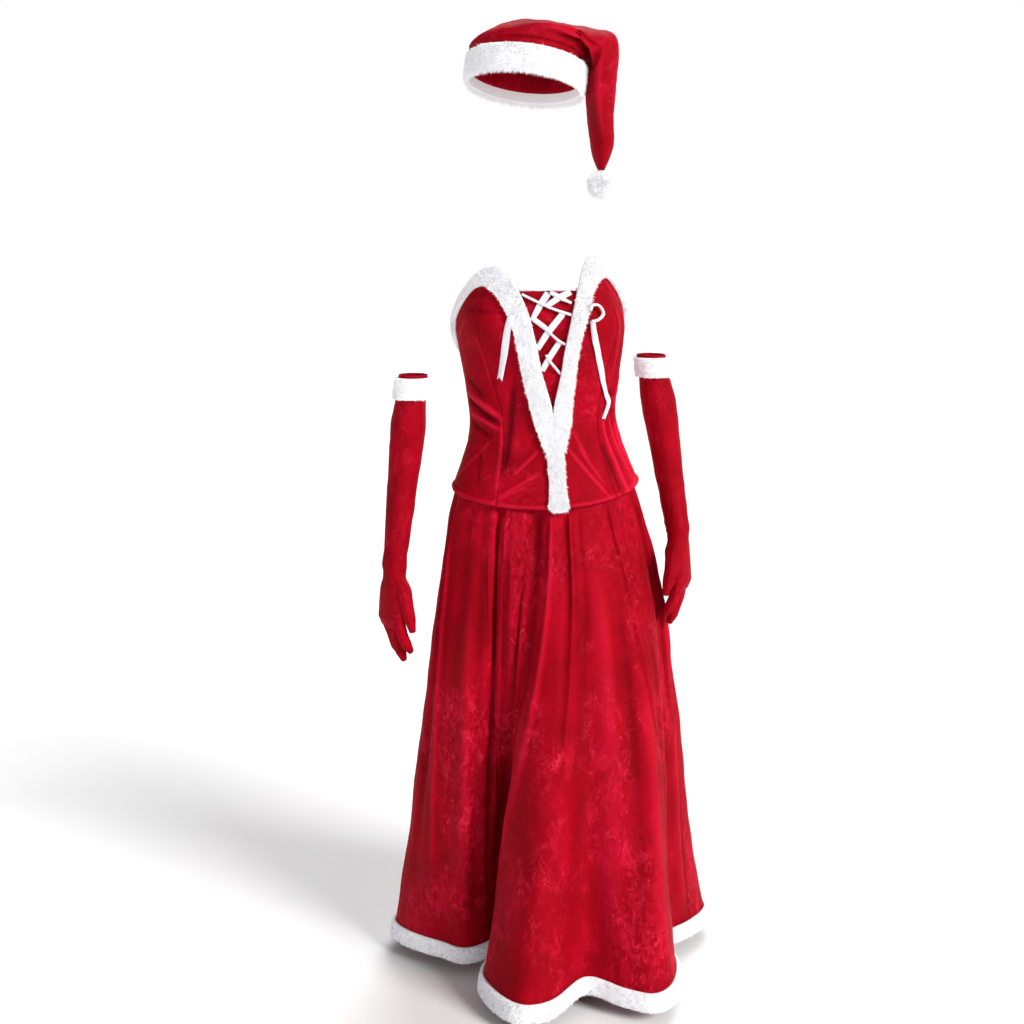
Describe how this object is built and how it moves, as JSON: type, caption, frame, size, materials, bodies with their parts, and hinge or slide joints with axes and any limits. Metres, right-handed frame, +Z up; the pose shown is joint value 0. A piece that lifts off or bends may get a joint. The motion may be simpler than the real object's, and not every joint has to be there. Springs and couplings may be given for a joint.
{
  "type": "christmas costume dress with hat and gloves",
  "caption": "Christmas costume set in its worn form: a strapless laced velvet bodice and a long flared skirt with plush trim, with long gloves and a stocking hat.",
  "frame": {"origin": "middle of the waist, where the wearer holds the dress up", "axes": "+Z up, the front of the dress towards -Y, +X towards the wearer's left"},
  "size_m": [0.6728, 0.6088, 1.7857],
  "materials": {
    "velvet": "crushed panne velvet, red",
    "plush": "short white fur pile",
    "satin_ribbon": "white satin ribbon"
  },
  "bodies": {
    "root": {"bodice_front_left": "velvet", "bodice_front_right": "velvet", "bodice_side_front_left": "velvet", "bodice_side_front_right": "velvet", "bodice_back_left": "velvet", "bodice_back_right": "velvet", "stomacher": "velvet", "skirt_front": "velvet", "skirt_back": "velvet", "skirt_waistband": "velvet", "hat_crown": "velvet", "glove_right": "velvet", "glove_left": "velvet", "plush_front_left": "plush", "plush_front_right": "plush", "plush_back": "plush", "plush_centre": "plush", "plush_hem_front": "plush", "plush_hem_back": "plush", "hat_band": "plush", "hat_pompom": "plush", "cuff_right": "plush", "cuff_left": "plush", "stomacher_edging": "satin_ribbon", "lace_rising_1": "satin_ribbon", "lace_falling_1": "satin_ribbon", "lace_rising_2": "satin_ribbon", "lace_falling_2": "satin_ribbon", "lace_rising_3": "satin_ribbon", "lace_falling_3": "satin_ribbon", "lace_rising_4": "satin_ribbon", "lace_falling_4": "satin_ribbon", "lace_end_right": "satin_ribbon", "lace_end_left": "satin_ribbon", "lace_loop": "satin_ribbon"}
  },
  "joints": []
}
